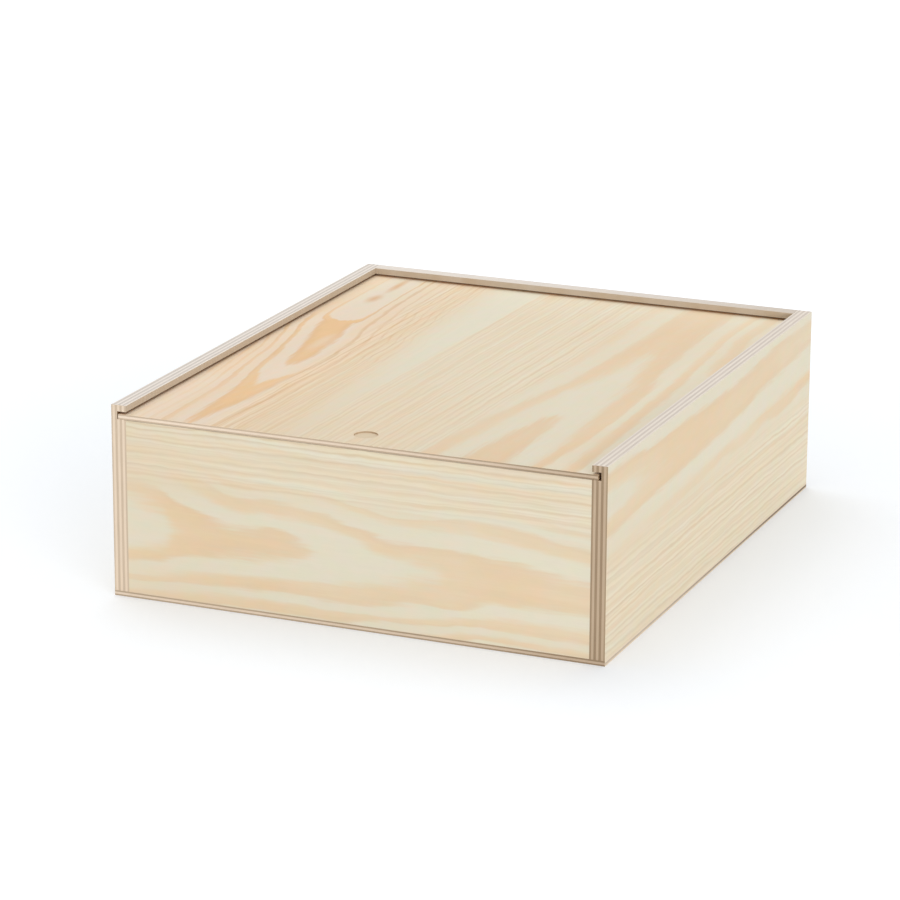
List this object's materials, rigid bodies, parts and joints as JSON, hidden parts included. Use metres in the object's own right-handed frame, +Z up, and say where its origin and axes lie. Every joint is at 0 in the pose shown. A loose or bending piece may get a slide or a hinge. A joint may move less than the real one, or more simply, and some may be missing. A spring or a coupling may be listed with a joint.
{
  "type": "plywood box with a sliding lid",
  "caption": "Shallow rectangular plywood box for papers and keepsakes, with a flat lid that slides out of grooves towards the front and has a round thumb notch.",
  "frame": {"origin": "middle of the underside", "axes": "+Z up, the front that the lid slides out of towards -Y, right wall towards +X"},
  "size_m": [0.29, 0.345, 0.11],
  "materials": {
    "wall_face_veneer": "bare sanded pine veneer, matt",
    "wall_inner_ply": "bare sawn ply edges, matt",
    "sheet_face_veneer": "bare sanded pine veneer, matt",
    "sheet_core_ply": "bare sawn ply edges, matt"
  },
  "bodies": {
    "box": {"left_wall_outer_veneer": "wall_face_veneer", "left_wall_ply_2": "wall_inner_ply", "left_wall_ply_3": "wall_inner_ply", "left_wall_ply_4": "wall_inner_ply", "left_wall_ply_5": "wall_inner_ply", "left_wall_ply_6": "wall_inner_ply", "left_wall_inner_veneer": "wall_face_veneer", "right_wall_outer_veneer": "wall_face_veneer", "right_wall_ply_2": "wall_inner_ply", "right_wall_ply_3": "wall_inner_ply", "right_wall_ply_4": "wall_inner_ply", "right_wall_ply_5": "wall_inner_ply", "right_wall_ply_6": "wall_inner_ply", "right_wall_inner_veneer": "wall_face_veneer", "front_wall_outer_veneer": "wall_face_veneer", "front_wall_ply_2": "wall_inner_ply", "front_wall_ply_3": "wall_inner_ply", "front_wall_ply_4": "wall_inner_ply", "front_wall_ply_5": "wall_inner_ply", "front_wall_ply_6": "wall_inner_ply", "front_wall_inner_veneer": "wall_face_veneer", "back_wall_outer_veneer": "wall_face_veneer", "back_wall_ply_2": "wall_inner_ply", "back_wall_ply_3": "wall_inner_ply", "back_wall_ply_4": "wall_inner_ply", "back_wall_ply_5": "wall_inner_ply", "back_wall_ply_6": "wall_inner_ply", "back_wall_inner_veneer": "wall_face_veneer", "bottom_under_veneer": "sheet_face_veneer", "bottom_core": "sheet_core_ply", "bottom_upper_veneer": "sheet_face_veneer"},
    "lid": {"lid_under_veneer": "sheet_face_veneer", "lid_core": "sheet_core_ply", "lid_top_veneer": "sheet_face_veneer"}
  },
  "joints": [
    {"name": "lid_slide", "type": "slide", "parent": "box", "child": "lid", "axis": [0, -1, 0], "range_m": [0, 0.341]}
  ]
}
